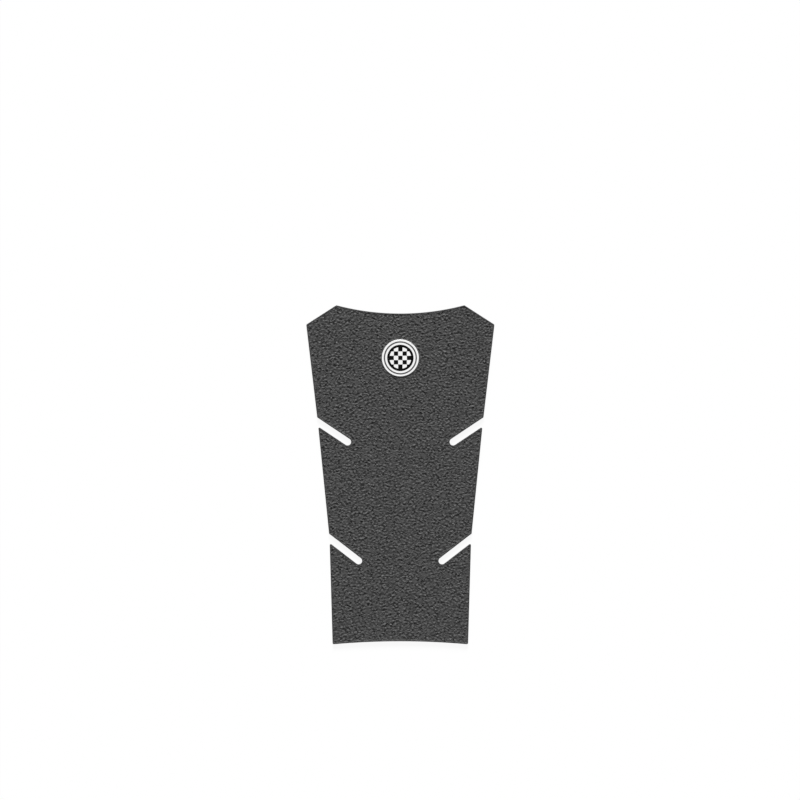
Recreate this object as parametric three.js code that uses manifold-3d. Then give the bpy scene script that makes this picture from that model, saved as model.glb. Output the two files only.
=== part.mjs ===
import * as THREE from "three";
import { mergeVertices } from "three/addons/utils/BufferGeometryUtils.js";
import Module from "manifold-3d";

// A motorcycle tank pad: one textured rubber sheet with a small round badge.
// It lies flat on its self-adhesive back, at z = 0, in millimetres with +Z up.
// +Y runs along the pad to its horned top edge, and x = 0 is its mirror line.

// Outline of the sheet, to its corners before they are rounded: widths are full ones,
// a drop is measured down from the top and a rise up from the foot
const padLength = 200;
const hornSpan = 75.5;
const topDip = 4.9;
const shoulderWidth = 111;
const shoulderDrop = 11.4;
const upperMouthWidth = 97.4;
const upperMouthDrop = 68.9;
const lowerMouthWidth = 83.5;
const lowerMouthRise = 62.4;
const footWidth = 79.9;
const footRise = 1.8;

// Relief slots: they fall from a mouth in the side towards the middle of the pad
const slotWidth = 4.2;
const upperSlotLength = 21.1;
const upperSlotFall = 33.7;
const lowerSlotLength = 21.6;
const lowerSlotFall = 37.6;

// Thickness and rounding of the sheet
const sheetThickness = 2;
const rimRadius = 0.45;
const cornerRadius = 0.85;
const mouthRadius = 0.6;

// Badge
const badgeDiameter = 21.8;
const badgeThickness = 0.35;
const badgeRimRadius = 0.15;
const badgeDrop = 31.1;

// Fineness of round stretches: how far a facet may lie from its arc
const facetError = 0.01;
const rimSteps = 3;
const badgeSteps = 96;

// Points nearer than this to each other are one point of a solid
const mergeDistance = 1e-5;

const topY = padLength / 2;
const footY = -padLength / 2;

const rubber = new THREE.MeshStandardMaterial({ color: 0x494949, roughness: 0.8, metalness: 0 });
const badgePlastic = new THREE.MeshStandardMaterial({ color: 0xf2f2f2, roughness: 0.4, metalness: 0 });

const wasm = await Module();
wasm.setup();

function point(x, y) {
  return new THREE.Vector2(x, y);
}

function facetsFor(radius, sweep) {
  const step = 2 * Math.acos(1 - facetError / radius);
  return Math.max(2, Math.ceil(sweep / step));
}

// Where the line through a towards alongA crosses the line through b towards alongB
function crossing(a, alongA, b, alongB) {
  const across = alongA.cross(alongB);
  const reach = b.clone().sub(a).cross(alongB) / across;
  return a.clone().addScaledVector(alongA, reach);
}

// Points of the arc that rounds a corner between its neighbours in the outline
function roundedCorner(before, corner, after, radius) {
  const toBefore = before.clone().sub(corner).normalize();
  const toAfter = after.clone().sub(corner).normalize();
  const halfAngle = Math.acos(toBefore.dot(toAfter)) / 2;
  const middle = toBefore.clone().add(toAfter).normalize();
  const centre = corner.clone().addScaledVector(middle, radius / Math.sin(halfAngle));
  const start = corner.clone().addScaledVector(toBefore, radius / Math.tan(halfAngle)).sub(centre);
  const turn = Math.sign(toAfter.cross(toBefore)) * (Math.PI - 2 * halfAngle);
  const facets = facetsFor(radius, Math.abs(turn));
  return Array.from({ length: facets + 1 }, (_, i) =>
    start.clone().rotateAround(point(0, 0), (turn * i) / facets).add(centre));
}

// Inner points of a shallow arc between two ends at one height, which it leaves by dip at its middle
function shallowArc(from, to, dip) {
  const halfSpan = Math.abs(to.x - from.x) / 2;
  const radius = (halfSpan ** 2 + dip ** 2) / (2 * Math.abs(dip));
  const halfSweep = Math.asin(halfSpan / radius);
  const facets = facetsFor(radius, 2 * halfSweep);
  const side = Math.sign(to.x - from.x);
  return Array.from({ length: facets - 1 }, (_, i) => {
    const angle = halfSweep * ((2 * (i + 1)) / facets - 1);
    const rise = radius * Math.cos(angle) - (radius - Math.abs(dip));
    return point(side * radius * Math.sin(angle), from.y + Math.sign(dip) * rise);
  });
}

// Corners of one slot on the right side, from its lower lip round its inner end to its upper lip
function slotCorners(mouth, fall, length, edgeBelow, edgeAbove) {
  const angle = THREE.MathUtils.degToRad(fall);
  const inward = point(-Math.cos(angle), -Math.sin(angle));
  const up = point(-Math.sin(angle), Math.cos(angle));
  const lowerWall = mouth.clone().addScaledVector(up, -slotWidth / 2);
  const upperWall = mouth.clone().addScaledVector(up, slotWidth / 2);
  const reach = length + slotWidth / 2;
  return [
    { at: crossing(lowerWall, inward, mouth, edgeBelow), radius: mouthRadius },
    { at: lowerWall.clone().addScaledVector(inward, reach), radius: slotWidth / 2 },
    { at: upperWall.clone().addScaledVector(inward, reach), radius: slotWidth / 2 },
    { at: crossing(upperWall, inward, mouth, edgeAbove), radius: mouthRadius },
  ];
}

// Corners of the right half, from the foot up to the horn
function rightCorners() {
  const foot = point(footWidth / 2, footY);
  const lowerMouth = point(lowerMouthWidth / 2, footY + lowerMouthRise);
  const upperMouth = point(upperMouthWidth / 2, topY - upperMouthDrop);
  const shoulder = point(shoulderWidth / 2, topY - shoulderDrop);
  const horn = point(hornSpan / 2, topY);
  const lowEdge = lowerMouth.clone().sub(foot);
  const middleEdge = upperMouth.clone().sub(lowerMouth);
  const highEdge = shoulder.clone().sub(upperMouth);
  return [
    { at: foot, radius: cornerRadius },
    ...slotCorners(lowerMouth, lowerSlotFall, lowerSlotLength, lowEdge, middleEdge),
    ...slotCorners(upperMouth, upperSlotFall, upperSlotLength, middleEdge, highEdge),
    { at: shoulder, radius: cornerRadius },
    { at: horn, radius: cornerRadius },
  ];
}

// The whole outline, counter-clockwise from the right foot corner
function sheetOutline() {
  const right = rightCorners();
  const left = right.map(({ at, radius }) => ({ at: point(-at.x, at.y), radius })).reverse();
  const plain = (at) => ({ at, radius: 0 });
  const topEdge = shallowArc(right.at(-1).at, left[0].at, -topDip).map(plain);
  const footEdge = shallowArc(left.at(-1).at, right[0].at, footRise).map(plain);
  const corners = [...right, ...topEdge, ...left, ...footEdge];
  return corners.flatMap(({ at, radius }, i) => {
    const before = corners.at(i - 1).at;
    const after = corners[(i + 1) % corners.length].at;
    return radius > 0 ? roundedCorner(before, at, after, radius) : [at];
  });
}

function toSolid(geometry) {
  const bare = geometry.clone().deleteAttribute("normal").deleteAttribute("uv");
  const merged = mergeVertices(bare, mergeDistance);
  return new wasm.Manifold(new wasm.Mesh({
    numProp: 3,
    vertProperties: new Float32Array(merged.attributes.position.array),
    triVerts: new Uint32Array(merged.index.array),
  }));
}

function toGeometry(solid) {
  const mesh = solid.getMesh();
  const geometry = new THREE.BufferGeometry();
  geometry.setAttribute("position", new THREE.BufferAttribute(mesh.vertProperties, 3));
  geometry.setIndex(new THREE.BufferAttribute(mesh.triVerts, 1));
  geometry.computeVertexNormals();
  return geometry;
}

// The sheet's rim is rounded above; the same rounding below is cut off flat at z = 0
function makeSheet() {
  const block = new THREE.ExtrudeGeometry(new THREE.Shape(sheetOutline()), {
    depth: sheetThickness,
    bevelEnabled: true,
    bevelThickness: rimRadius,
    bevelSize: rimRadius,
    bevelOffset: -rimRadius,
    bevelSegments: rimSteps,
  });
  block.translate(0, 0, -rimRadius);
  const below = new THREE.BoxGeometry(2 * shoulderWidth, 2 * padLength, 4 * rimRadius);
  below.translate(0, 0, -2 * rimRadius);
  const sheet = new THREE.Mesh(toGeometry(toSolid(block).subtract(toSolid(below))), rubber);
  sheet.name = "pad_sheet";
  return sheet;
}

// A flat disc with a rounded upper rim, lying on the sheet
function makeBadge() {
  const radius = badgeDiameter / 2;
  const profile = new THREE.Path();
  profile.moveTo(0, 0);
  profile.lineTo(radius, 0);
  profile.lineTo(radius, badgeThickness - badgeRimRadius);
  profile.absarc(radius - badgeRimRadius, badgeThickness - badgeRimRadius, badgeRimRadius, 0, Math.PI / 2);
  profile.lineTo(0, badgeThickness);
  const disc = new THREE.LatheGeometry(profile.getPoints(rimSteps), badgeSteps);
  disc.rotateX(Math.PI / 2);
  const badge = new THREE.Mesh(disc, badgePlastic);
  badge.name = "round_badge";
  badge.position.set(0, topY - badgeDrop, sheetThickness);
  return badge;
}

const tankPad = new THREE.Group();
tankPad.name = "tank_pad";
tankPad.add(makeSheet(), makeBadge());

export default tankPad;
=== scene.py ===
"""A motorcycle tank pad: a grained rubber sheet and its round badge, lying on a white floor."""

import math

import bpy
import numpy as np
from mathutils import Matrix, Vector, kdtree
from mathutils.geometry import delaunay_2d_cdt


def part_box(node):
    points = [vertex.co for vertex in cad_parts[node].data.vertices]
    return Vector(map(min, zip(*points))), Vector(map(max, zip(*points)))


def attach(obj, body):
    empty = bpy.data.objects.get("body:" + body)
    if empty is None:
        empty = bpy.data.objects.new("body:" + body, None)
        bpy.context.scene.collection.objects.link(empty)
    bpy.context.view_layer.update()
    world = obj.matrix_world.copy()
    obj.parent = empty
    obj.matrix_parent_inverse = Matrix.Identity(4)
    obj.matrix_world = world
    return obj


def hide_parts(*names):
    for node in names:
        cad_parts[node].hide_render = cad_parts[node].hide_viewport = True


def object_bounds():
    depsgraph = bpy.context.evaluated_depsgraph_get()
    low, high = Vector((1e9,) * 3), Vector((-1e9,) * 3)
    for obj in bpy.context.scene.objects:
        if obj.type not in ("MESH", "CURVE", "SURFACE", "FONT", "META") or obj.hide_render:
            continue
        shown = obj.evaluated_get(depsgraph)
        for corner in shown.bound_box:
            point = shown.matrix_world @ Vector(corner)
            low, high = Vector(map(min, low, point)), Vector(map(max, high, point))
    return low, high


MM = 0.001

# Sheet: its rounded rim, the fineness of its mesh and the order of its materials
SHEET_RIM_RADIUS = 0.45 * MM
RIM_STEPS = 4  # of the badge's rim too
MESH_PITCH = 0.475 * MM
INNER_CLEARANCE = 0.55  # of the pitch, between the rim and the first points inside it
RUBBER, ADHESIVE = range(2)

# Grain of the sheet's face: random waves of about one period, cut off at the face and at full depth
GRAIN_SEED = 11
GRAIN_DEPTH = 0.5 * MM
GRAIN_PERIOD = 1.96 * MM
GRAIN_SPREAD = 0.28 / MM
GRAIN_STRETCH = 1.2  # its length across the pad for a length of 1 along it
GRAIN_MEAN = 0.55  # of the depth, up from the deepest pits
GRAIN_SWING = 0.23  # deviation from that mean, of the depth
PATCH_PERIOD = 5 * MM
PATCH_SPREAD = 0.12 / MM
PATCH_SHARE = 0.34  # deviation of the grain's strength from place to place
PATCH_FLOOR = 0.3  # its least strength
GRAIN_CELL = 0.2 * MM
SPARE_CELLS = 2  # past the far edges of the sheet
GRAIN_FADE = 0.7 * MM  # smooth margin along the rim and round the badge

# Colour of the rubber, from painted shade in the pits to the tops, and what each texture adds to its tone
RUBBER_DARK = 0.011
RUBBER_PALE = 0.16
# Painted shade: the pits of the grain are coloured darker than its tops
RELIEF_RANGE = (0.1, 1)
PAINTED_PIT_SHADE_TONES = (0, 0.55)
# Painted shade along the rim and the walls: they are coloured as a low relief, darker than most of the face
PAINTED_RIM_SHADE = 0.3  # relief that the rim and the walls are coloured as
PIT_SIZE = 0.88 * MM
PIT_TONES = (-0.15, 0.15)
MOTTLE_SIZE = 4 * MM
MOTTLE_TONES = (-0.05, 0.05)

# Finer relief of the rubber, below what its mesh can carry, and its gloss
WRINKLE_SIZE = 1.1 * MM
WRINKLE_DEPTH = 1.15 * MM
TOOTH_SIZE = 0.35 * MM
TOOTH_DEPTH = 0.03 * MM
RUBBER_ROUGHNESS = (0.5, 0.6)
RUBBER_SPECULAR = 0.2

# Adhesive coat on the back
ADHESIVE_DARK = (0.026, 0.026, 0.028)
ADHESIVE_PALE = (0.036, 0.036, 0.038)
ADHESIVE_ROUGHNESS = (0.28, 0.4)
ADHESIVE_SPECULAR = 0.5
STREAK_SIZE = 14 * MM
PEEL_SIZE = 2.2 * MM
PEEL_DEPTH = 0.03 * MM

# Badge: a ring groove near its edge, a printed chequered roundel in its middle and three materials
BADGE_SEGMENTS = 160
BADGE_RIM_RADIUS = 0.15 * MM
GROOVE_OUTER = 9.8 * MM
GROOVE_WIDTH = 0.85 * MM
GROOVE_DEPTH = 0.12 * MM
GROOVE_DRAFT = 0.06 * MM
ROUNDEL_RADIUS = 6.4 * MM
ROUNDEL_BORDER = 1.4 * MM
ROUNDEL_SQUARES = 5  # across the roundel, an odd number so that both halves mirror
ROUNDEL_PITCH = 2 * ROUNDEL_RADIUS / ROUNDEL_SQUARES
WHITE, GREY, BLACK = range(3)
WHITE_TONES = (0.88, 0.92)
GREY_TONES = (0.07, 0.1)
BLACK_TONES = (0.001, 0.003)
CLOUD_SIZE = 5 * MM
PLASTIC_TOOTH_SIZE = 0.25 * MM
PLASTIC_TOOTH_DEPTH = 0.004 * MM
PLASTIC_ROUGHNESS_SPREAD = 0.04

# Values that a noise texture mostly lies between, and its mean
NOISE_RANGE = (0.3, 0.7)
NOISE_MEAN = 0.5

# Camera: where the pad lies in the photograph's square frame, in pixels
FRAME_PX = 800
PAD_HORNS_PX = 305.3
PAD_FOOT_PX = 644.3
PAD_MIDDLE_PX = 400.35
CAMERA_LENS = 100

# Light: the two add up to 1 on a level surface
SKY_LEVEL = 0.23
KEY_LEVEL = 0.77
KEY_ELEVATION = math.radians(27)
KEY_SOFTNESS = math.radians(22)

# Floor
FLOOR_SIZE = 8000 * MM
FLOOR_GAP = 0.02 * MM
FLOOR_BOUNCE = 0.8
FLOOR_SHADOW = 0.08  # share of the true shadow that the white floor keeps

# How the flat back of a solid is read, and how loops are filled with triangles
BACK_NORMAL = -0.99  # faces whose normal has a lower z than this are the back
SPOT_DECIMALS = 7  # points of a solid that agree to so many decimals of a metre are one
FILL_INSIDE = 1  # the output type that keeps the triangles inside the first loop
FILL_TOLERANCE = 1e-9  # points nearer to each other than this are one

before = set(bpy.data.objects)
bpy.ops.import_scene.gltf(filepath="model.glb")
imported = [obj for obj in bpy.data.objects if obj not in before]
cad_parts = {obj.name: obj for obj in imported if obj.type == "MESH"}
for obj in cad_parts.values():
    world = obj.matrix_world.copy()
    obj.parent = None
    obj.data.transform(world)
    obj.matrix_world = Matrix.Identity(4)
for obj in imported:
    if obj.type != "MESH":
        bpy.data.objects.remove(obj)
cad_low, cad_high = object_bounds()


# Outline


def back_outline(node):
    """The loop round the flat back of a CAD node, counter-clockwise from above, as rows of x, y."""
    spots = {}
    rounded = (tuple(round(c, SPOT_DECIMALS) for c in vertex.co) for vertex in node.data.vertices)
    merged = [spots.setdefault(spot, len(spots)) for spot in rounded]
    edges = {}
    for face in node.data.polygons:
        if face.normal.z < BACK_NORMAL:
            corners = [merged[i] for i in face.vertices]
            edges.update(dict.fromkeys(zip(corners[1:] + corners[:1], corners)))
    # an edge between two faces of the back is there both ways, and an outer one only once
    onward = {a: b for a, b in edges if (b, a) not in edges}
    loop = [next(iter(onward))]
    while onward[loop[-1]] != loop[0]:
        loop.append(onward[loop[-1]])
    return np.array(list(spots))[loop, :2]


def resampled(loop, step):
    """The same loop with each edge cut into equal stretches no longer than step."""
    points = []
    for a, b in zip(loop, np.roll(loop, -1, axis=0)):
        count = max(1, math.ceil(np.linalg.norm(b - a) / step))
        points.extend(a + (b - a) * i / count for i in range(count))
    return np.array(points)


def inset(loop, distance):
    """The loop moved inwards, each corner along the line that halves it."""
    ahead = np.roll(loop, -1, axis=0) - loop
    ahead /= np.linalg.norm(ahead, axis=1, keepdims=True)
    behind = np.roll(ahead, 1, axis=0)
    normals = np.stack([-ahead[:, 1], ahead[:, 0]], axis=1)
    middle = normals + np.stack([-behind[:, 1], behind[:, 0]], axis=1)
    reach = 2 / np.sum(middle * middle, axis=1, keepdims=True)
    return loop + middle * reach * distance


def distances(loop, points):
    """How far each point lies from the nearest point of a finely cut loop."""
    tree = kdtree.KDTree(len(loop))
    for i, (x, y) in enumerate(loop):
        tree.insert((x, y, 0), i)
    tree.balance()
    return np.array([tree.find((x, y, 0))[2] for x, y in points])


def lattice_inside(loop, pitch):
    """Points of a triangular lattice that lie inside the loop, clear of its edge."""
    ends = np.roll(loop, -1, axis=0)
    row_height = pitch * math.sqrt(3) / 2
    first_row = math.floor(loop[:, 1].min() / row_height)
    last_row = math.ceil(loop[:, 1].max() / row_height)
    points = []
    for row in range(first_row, last_row):
        y = row * row_height
        crossed = (loop[:, 1] > y) != (ends[:, 1] > y)
        a = loop[crossed]
        b = ends[crossed]
        xs = np.sort(a[:, 0] + (y - a[:, 1]) * (b[:, 0] - a[:, 0]) / (b[:, 1] - a[:, 1]))
        shift = (row % 2) * pitch / 2
        for left, right in zip(xs[::2], xs[1::2]):
            first = math.ceil((left - shift) / pitch)
            last = math.floor((right - shift) / pitch)
            points.extend((k * pitch + shift, y) for k in range(first, last + 1))
    points = np.array(points)
    return points[distances(loop, points) > INNER_CLEARANCE * pitch]


# Meshes


def filled(points, loops, lines=()):
    """Triangles inside the first loop, with edges along every loop and line, all given by point numbers.

    Gives the points too, because lines that cross a loop or each other add some at the end.
    """
    points = [Vector((float(x), float(y))) for x, y in points]
    edges = [pair for loop in loops[1:] for pair in zip(loop, loop[1:] + loop[:1])]
    places, _, triangles, sources, *_ = delaunay_2d_cdt(
        points, edges + list(lines), [loops[0]], FILL_INSIDE, FILL_TOLERANCE
    )
    numbers = []
    for place, source in zip(places, sources):
        numbers.append(source[0] if source else len(points))
        if not source:
            points.append(place)
    return points, renumbered(triangles, numbers)


def renumbered(triangles, numbers):
    """The same triangles, with the number of each corner looked up in numbers."""
    return [tuple(numbers[i] for i in corners) for corners in triangles]


def band(lower, upper):
    """Quads between two rings of as many points, lower and upper, outside faces out."""
    count = len(lower)
    return [
        (lower[i], lower[(i + 1) % count], upper[(i + 1) % count], upper[i])
        for i in range(count)
    ]


def rim_steps(radius):
    """How far inside the wall and how far below the face each ring of a rounded rim lies."""
    for step in range(RIM_STEPS + 1):
        turn = math.pi / 2 * step / RIM_STEPS
        yield radius * (1 - math.cos(turn)), radius * (1 - math.sin(turn))


def placed(name, data):
    """A new object of the scene with this data."""
    thing = bpy.data.objects.new(name, data)
    bpy.context.scene.collection.objects.link(thing)
    return thing


class Surface:
    """Gathers points and faces, each face with its material and shading, from the back up."""

    def __init__(self):
        self.points = []
        self.faces = []
        self.looks = []

    def ring(self, xy, z):
        """Adds points at one height or at a height each, and gives their numbers."""
        start = len(self.points)
        heights = np.broadcast_to(z, len(xy))
        self.points.extend((float(x), float(y), float(h)) for (x, y), h in zip(xy, heights))
        return list(range(start, len(self.points)))

    def add(self, faces, material, smooth=True):
        self.faces.extend(faces)
        self.looks.extend([(material, smooth)] * len(faces))

    def back(self, loop, z, material):
        """Adds a flat face that looks down, and gives the ring round it."""
        ring = self.ring(loop, z)
        triangles = filled(loop, [list(range(len(loop)))])[1]
        self.add([corners[::-1] for corners in renumbered(triangles, ring)], material, smooth=False)
        return ring

    def climb(self, below, loop, z, material, smooth=True):
        """Adds a ring and the band of faces from the ring below it, and gives the new ring."""
        ring = self.ring(loop, z)
        self.add(band(below, ring), material, smooth)
        return ring

    def build(self, name, materials):
        mesh = bpy.data.meshes.new(name)
        mesh.from_pydata(self.points, [], self.faces)
        for material in materials:
            mesh.materials.append(material)
        mesh.polygons.foreach_set("material_index", [material for material, _ in self.looks])
        mesh.polygons.foreach_set("use_smooth", [smooth for _, smooth in self.looks])
        mesh.update()
        return placed(name, mesh)


def keep_values(piece, name, numbers, values, elsewhere):
    """Gives each point of a piece a value for its material to read."""
    every = np.full(len(piece.data.vertices), elsewhere, np.float32)
    every[numbers] = values
    piece.data.attributes.new(name, "FLOAT", "POINT").data.foreach_set("value", every)


# Grain


def band_noise(rng, shape, period, spread):
    """Random waves of about one period, stretched across the pad, with mean 0 and deviation 1."""
    fy = np.fft.fftfreq(shape[0], GRAIN_CELL)[:, None]
    fx = np.fft.fftfreq(shape[1], GRAIN_CELL)[None, :]
    frequencies = np.hypot(fx * GRAIN_STRETCH, fy)
    waves = np.exp(-(((frequencies - 1 / period) / spread) ** 2))
    field = np.fft.ifft2(np.fft.fft2(rng.standard_normal(shape)) * waves).real
    return field / field.std()


def grain_fields(width, length):
    """The grain's height, 0 in the deepest pits to 1 on the tops, and its strength, on grids of cells."""
    rng = np.random.default_rng(GRAIN_SEED)
    shape = tuple(math.ceil(side / GRAIN_CELL) + SPARE_CELLS for side in (length, width))
    waves = band_noise(rng, shape, GRAIN_PERIOD, GRAIN_SPREAD)
    patches = band_noise(rng, shape, PATCH_PERIOD, PATCH_SPREAD)
    strength = np.maximum(1 + PATCH_SHARE * patches, PATCH_FLOOR)
    return np.clip(GRAIN_MEAN + GRAIN_SWING * waves * strength, 0, 1), strength


def sampled(field, xy, low):
    """The field between its cells at these points, where low is the place of its first cell."""
    place = (xy - low) / GRAIN_CELL
    cell = np.floor(place).astype(int)
    share_x, share_y = (place - cell).T
    column, row = cell.T
    near_row = field[row, column] * (1 - share_x) + field[row, column + 1] * share_x
    far_row = field[row + 1, column] * (1 - share_x) + field[row + 1, column + 1] * share_x
    return near_row * (1 - share_y) + far_row * share_y


def eased(distance, width):
    """0 at no distance to 1 at the full width, with no kink at either end."""
    share = np.clip(distance / width, 0, 1)
    return share * share * (3 - 2 * share)


def face_grain(inner, edge, sheet_box, badge_box):
    """Relief of the grain, 0 in the deepest pits to 1 on the tops, and its strength, at points of the face.

    The face is smooth and at full height along its edge and round the badge.
    """
    low, high = sheet_box
    badge_low, badge_high = badge_box
    badge_centre = np.array(((badge_low + badge_high) / 2).xy)
    from_badge = np.linalg.norm(inner - badge_centre, axis=1) - (badge_high.x - badge_low.x) / 2
    fade = eased(distances(edge, inner), GRAIN_FADE) * eased(from_badge, GRAIN_FADE)
    fields = grain_fields(high.x - low.x, high.y - low.y)
    heights, strength = (sampled(field, inner, np.array(low.xy)) for field in fields)
    return 1 - (1 - heights) * fade, strength * fade


# Pieces


def make_sheet(node, badge_box, materials):
    """The rubber sheet: flat back, upright walls, rounded rim and a grained face."""
    low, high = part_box(node.name)
    outline = resampled(back_outline(node), MESH_PITCH)
    sheet = Surface()
    ring = sheet.back(outline, low.z, ADHESIVE)
    for inwards, down in rim_steps(SHEET_RIM_RADIUS):
        edge = inset(outline, inwards)
        ring = sheet.climb(ring, edge, high.z - down, RUBBER)
    inner = lattice_inside(edge, MESH_PITCH)
    relief, strength = face_grain(inner, edge, (low, high), badge_box)
    face = sheet.ring(inner, high.z - GRAIN_DEPTH * (1 - relief))
    triangles = filled(np.concatenate([edge, inner]), [list(range(len(edge)))])[1]
    sheet.add(renumbered(triangles, ring + face), RUBBER)
    piece = sheet.build("tank_pad_sheet", materials)
    # the rim and the walls take a low relief, a painted shade along the rim
    keep_values(piece, "relief", face, relief, PAINTED_RIM_SHADE)
    keep_values(piece, "grained", face, strength, 0)
    return piece


def circle(centre, radius):
    angles = np.arange(BADGE_SEGMENTS) * 2 * math.pi / BADGE_SEGMENTS
    return np.stack([centre.x + radius * np.cos(angles), centre.y + radius * np.sin(angles)], axis=1)


def roundel_lines():
    """Ends of the lines between the roundel's squares, in pairs, which stop inside its border."""
    reach = ROUNDEL_RADIUS + ROUNDEL_BORDER / 2
    ends = []
    for i in range(1, ROUNDEL_SQUARES):
        offset = i * ROUNDEL_PITCH - ROUNDEL_RADIUS
        half = math.sqrt(reach**2 - offset**2)
        ends += [(offset, -half), (offset, half), (-half, offset), (half, offset)]
    return np.array(ends)


def print_at(place):
    """Which colour is printed at a place on the badge, measured from its middle."""
    distance = np.linalg.norm(place)
    if distance > ROUNDEL_RADIUS + ROUNDEL_BORDER:
        return WHITE
    if distance > ROUNDEL_RADIUS:
        return BLACK
    column, row = np.round(place / ROUNDEL_PITCH)
    return BLACK if (column + row) % 2 == 0 else WHITE


def add_print(badge, ring, radius, centre, z):
    """The printed face inside a ring of this radius, cut along the edges of its colours."""
    radii = (radius, ROUNDEL_RADIUS + ROUNDEL_BORDER, ROUNDEL_RADIUS)
    circles = [circle(centre, at) for at in radii]
    loops = [list(range(i * BADGE_SEGMENTS, (i + 1) * BADGE_SEGMENTS)) for i in range(len(circles))]
    ends = roundel_lines() + np.array(centre.xy)
    first_end = len(circles) * BADGE_SEGMENTS
    lines = [(i, i + 1) for i in range(first_end, first_end + len(ends), 2)]
    points, triangles = filled(np.concatenate([*circles, ends]), loops, lines)
    points = np.array(points)
    places = ring + badge.ring(points[BADGE_SEGMENTS:], z)
    for corners in triangles:
        middle = points[list(corners)].mean(axis=0) - np.array(centre.xy)
        badge.add(renumbered([corners], places), print_at(middle), smooth=False)


def make_badge(node, materials):
    """The round badge: flat back, rounded rim, painted ring groove and a printed roundel."""
    low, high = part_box(node.name)
    centre = (low + high) / 2
    radius = (high.x - low.x) / 2
    badge = Surface()
    ring = badge.back(circle(centre, radius), low.z, WHITE)
    for inwards, down in rim_steps(BADGE_RIM_RADIUS):
        ring = badge.climb(ring, circle(centre, radius - inwards), high.z - down, WHITE)
    groove_inner = GROOVE_OUTER - GROOVE_WIDTH
    groove = [
        (GROOVE_OUTER, 0, WHITE),
        (GROOVE_OUTER - GROOVE_DRAFT, GROOVE_DEPTH, GREY),
        (groove_inner + GROOVE_DRAFT, GROOVE_DEPTH, GREY),
        (groove_inner, 0, GREY),
    ]
    for at, depth, colour in groove:
        ring = badge.climb(ring, circle(centre, at), high.z - depth, colour, smooth=False)
    add_print(badge, ring, groove_inner, centre, high.z)
    return badge.build("tank_pad_badge", materials)


# Shader nodes


def feed(tree, value, socket):
    """Gives a socket a plain number or what another node puts out."""
    if isinstance(value, (int, float)):
        socket.default_value = value
    else:
        tree.links.new(value, socket)


def grey_colour(level):
    return (level, level, level, 1)


def noise(tree, size, detail=2, roughness=0.5):
    """Noise over the object's own coordinates, with features of about this size."""
    coordinates = tree.nodes.new("ShaderNodeTexCoord")
    texture = tree.nodes.new("ShaderNodeTexNoise")
    texture.inputs["Scale"].default_value = 1 / size
    texture.inputs["Detail"].default_value = detail
    texture.inputs["Roughness"].default_value = roughness
    tree.links.new(coordinates.outputs["Object"], texture.inputs["Vector"])
    return texture.outputs["Fac"]


def point_value(tree, name):
    """A value kept on the points of the mesh."""
    node = tree.nodes.new("ShaderNodeAttribute")
    node.attribute_name = name
    return node.outputs["Fac"]


def ranged(tree, value, result, source=NOISE_RANGE):
    """The value stretched from one range, the source, to another, the result."""
    node = tree.nodes.new("ShaderNodeMapRange")
    for name, limit in zip(("From Min", "From Max", "To Min", "To Max"), (*source, *result)):
        node.inputs[name].default_value = limit
    tree.links.new(value, node.inputs["Value"])
    return node.outputs["Result"]


def combined(tree, operation, first, second):
    """Two values added, multiplied or otherwise made into one."""
    node = tree.nodes.new("ShaderNodeMath")
    node.operation = operation
    feed(tree, first, node.inputs[0])
    feed(tree, second, node.inputs[1])
    return node.outputs["Value"]


def coloured(tree, factor, low, high):
    """A colour from low to high by a factor from 0 to 1."""
    node = tree.nodes.new("ShaderNodeMix")
    node.data_type = "RGBA"
    node.inputs["A"].default_value = low
    node.inputs["B"].default_value = high
    tree.links.new(factor, node.inputs["Factor"])
    return node.outputs["Result"]


def mixed(tree, factor, first, second):
    """The first shader where the factor is 0, and the second where it is 1."""
    node = tree.nodes.new("ShaderNodeMixShader")
    feed(tree, factor, node.inputs["Fac"])
    tree.links.new(first.outputs[0], node.inputs[1])
    tree.links.new(second.outputs[0], node.inputs[2])
    return node


def diffuse(tree, level):
    node = tree.nodes.new("ShaderNodeBsdfDiffuse")
    node.inputs["Color"].default_value = grey_colour(level)
    return node


def shown_directly(tree):
    """1 for what the camera, a mirror or a pane of glass shows, 0 for the light that a surface gathers."""
    path = tree.nodes.new("ShaderNodeLightPath")
    either = combined(tree, "MAXIMUM", path.outputs["Is Camera Ray"], path.outputs["Is Glossy Ray"])
    return combined(tree, "MAXIMUM", either, path.outputs["Is Transmission Ray"])


# Materials


def new_material(name):
    """A material with nodes, its node tree and its shader."""
    material = bpy.data.materials.new(name)
    material.use_nodes = True
    tree = material.node_tree
    return material, tree, tree.nodes["Principled BSDF"]


def finish_surface(tree, shader, shade, roughness, specular, height, depth):
    """Gives a shader its colour, gloss and bump; the depth is what a height of 1 stands for."""
    shader.inputs["Specular IOR Level"].default_value = specular
    tree.links.new(shade, shader.inputs["Base Color"])
    tree.links.new(roughness, shader.inputs["Roughness"])
    bump = tree.nodes.new("ShaderNodeBump")
    bump.inputs["Distance"].default_value = depth
    tree.links.new(height, bump.inputs["Height"])
    tree.links.new(bump.outputs["Normal"], shader.inputs["Normal"])


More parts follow.
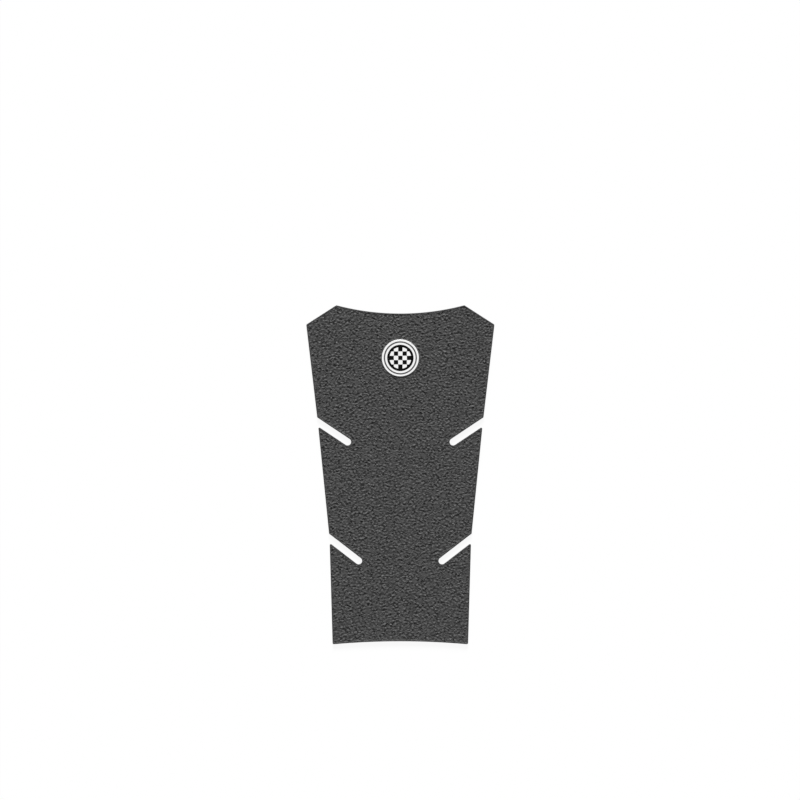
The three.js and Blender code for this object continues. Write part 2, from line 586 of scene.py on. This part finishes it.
def rubber():
    """Dark grey rubber with painted shade: paler on its tops than in its pits and darker along its rim, and
    wrinkled where it is grained.
    """
    material, tree, shader = new_material("pad_rubber")
    grained = point_value(tree, "grained")
    # painted shade: darker in the grain's pits and along the rim, paler on its tops
    painted_pit_shade = ranged(tree, point_value(tree, "relief"), PAINTED_PIT_SHADE_TONES, RELIEF_RANGE)
    pit_tone = ranged(tree, noise(tree, PIT_SIZE, detail=1), PIT_TONES)
    mottle_tone = ranged(tree, noise(tree, MOTTLE_SIZE, detail=3), MOTTLE_TONES)
    tone = combined(tree, "ADD", painted_pit_shade, combined(tree, "MULTIPLY", pit_tone, grained))
    tone = combined(tree, "ADD", tone, mottle_tone)
    shade = coloured(tree, tone, grey_colour(RUBBER_DARK), grey_colour(RUBBER_PALE))
    tooth = noise(tree, TOOTH_SIZE, detail=3, roughness=0.6)
    roughness = ranged(tree, tooth, RUBBER_ROUGHNESS)
    wrinkles = combined(tree, "SUBTRACT", noise(tree, WRINKLE_SIZE, detail=1), NOISE_MEAN)
    wrinkles = combined(tree, "MULTIPLY", wrinkles, grained)
    fine = combined(tree, "MULTIPLY", tooth, TOOTH_DEPTH / WRINKLE_DEPTH)
    height = combined(tree, "ADD", wrinkles, fine)
    finish_surface(tree, shader, shade, roughness, RUBBER_SPECULAR, height, WRINKLE_DEPTH)
    return material


def adhesive():
    """The coat on the back: smooth, a little glossy, with the faint orange peel of a rolled film."""
    material, tree, shader = new_material("adhesive_back")
    streaks = noise(tree, STREAK_SIZE, detail=4)
    shade = coloured(tree, ranged(tree, streaks, (0, 1)), (*ADHESIVE_DARK, 1), (*ADHESIVE_PALE, 1))
    roughness = ranged(tree, streaks, ADHESIVE_ROUGHNESS)
    peel = noise(tree, PEEL_SIZE)
    finish_surface(tree, shader, shade, roughness, ADHESIVE_SPECULAR, peel, PEEL_DEPTH)
    return material


def moulded(name, tones, roughness, specular):
    """Moulded or printed plastic: an even colour with a faint cloud and tooth."""
    material, tree, shader = new_material(name)
    cloud = ranged(tree, noise(tree, CLOUD_SIZE), (0, 1))
    shade = coloured(tree, cloud, *map(grey_colour, tones))
    tooth = noise(tree, PLASTIC_TOOTH_SIZE)
    limits = (roughness - PLASTIC_ROUGHNESS_SPREAD, roughness + PLASTIC_ROUGHNESS_SPREAD)
    finish_surface(tree, shader, shade, ranged(tree, tooth, limits), specular, tooth, PLASTIC_TOOTH_DEPTH)
    return material


def badge_materials():
    """The badge's white plastic, and the grey and black paint and print on it."""
    return [
        moulded("badge_white", WHITE_TONES, roughness=0.4, specular=0.5),
        moulded("badge_grey", GREY_TONES, roughness=0.5, specular=0.2),
        moulded("badge_black", BLACK_TONES, roughness=0.5, specular=0.05),
    ]


def floor_material():
    """White to the camera but for part of the pad's shadow, pale to the light, and clear from below."""
    material, tree, shader = new_material("floor")
    tree.nodes.remove(shader)
    plain = tree.nodes.new("ShaderNodeEmission")
    plain.inputs["Strength"].default_value = 1
    seen = mixed(tree, FLOOR_SHADOW, plain, diffuse(tree, 1))
    above = mixed(tree, shown_directly(tree), diffuse(tree, FLOOR_BOUNCE), seen)
    side = tree.nodes.new("ShaderNodeNewGeometry")
    clear = tree.nodes.new("ShaderNodeBsdfTransparent")
    whole = mixed(tree, side.outputs["Backfacing"], above, clear)
    tree.links.new(whole.outputs[0], tree.nodes["Material Output"].inputs["Surface"])
    return material


# Stage


def make_floor():
    """A wide level floor just below the pad's back."""
    half = FLOOR_SIZE / 2
    z = cad_low.z - FLOOR_GAP
    corners = [(-half, -half, z), (half, -half, z), (half, half, z), (-half, half, z)]
    mesh = bpy.data.meshes.new("floor")
    mesh.from_pydata(corners, [], [(0, 1, 2, 3)])
    mesh.materials.append(floor_material())
    floor = placed("floor", mesh)


def make_sky():
    """A soft white sky: white where it shows, and dimmer as a light."""
    world = bpy.data.worlds.new("world")
    bpy.context.scene.world = world
    world.use_nodes = True
    tree = world.node_tree
    background = tree.nodes["Background"]
    background.inputs["Color"].default_value = grey_colour(1)
    strength = ranged(tree, shown_directly(tree), (SKY_LEVEL, 1), (0, 1))
    tree.links.new(strength, background.inputs["Strength"])


def make_key():
    """A soft key light from beyond the horned end. At an energy of pi it lights what faces it to level 1."""
    data = bpy.data.lights.new("key", "SUN")
    data.angle = KEY_SOFTNESS
    data.energy = KEY_LEVEL * math.pi / math.sin(KEY_ELEVATION)
    towards = Vector((0, math.cos(KEY_ELEVATION), math.sin(KEY_ELEVATION)))
    key = placed("key", data)
    key.location = towards
    key.rotation_euler = towards.to_track_quat("Z", "Y").to_euler()


def make_camera(pad_low, pad_high):
    """Straight above, with the pad where the photograph has it."""
    metres_per_px = (pad_high.y - pad_low.y) / (PAD_FOOT_PX - PAD_HORNS_PX)
    data = bpy.data.cameras.new("camera")
    data.lens = CAMERA_LENS
    distance = FRAME_PX * metres_per_px * data.lens / data.sensor_width
    pad_middle = (pad_low + pad_high) / 2
    across = (FRAME_PX / 2 - PAD_MIDDLE_PX) * metres_per_px
    along = ((PAD_HORNS_PX + PAD_FOOT_PX) / 2 - FRAME_PX / 2) * metres_per_px
    camera = placed("camera", data)
    camera.location = (pad_middle.x + across, pad_middle.y + along, pad_high.z + distance)
    bpy.context.scene.camera = camera


bpy.context.scene.view_settings.view_transform = "Standard"

sheet = make_sheet(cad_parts["pad_sheet"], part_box("round_badge"), [rubber(), adhesive()])
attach(sheet, "root")
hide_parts("pad_sheet")

badge = make_badge(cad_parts["round_badge"], badge_materials())
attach(badge, "root")
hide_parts("round_badge")

make_floor()
make_sky()
make_key()
make_camera(*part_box("pad_sheet"))
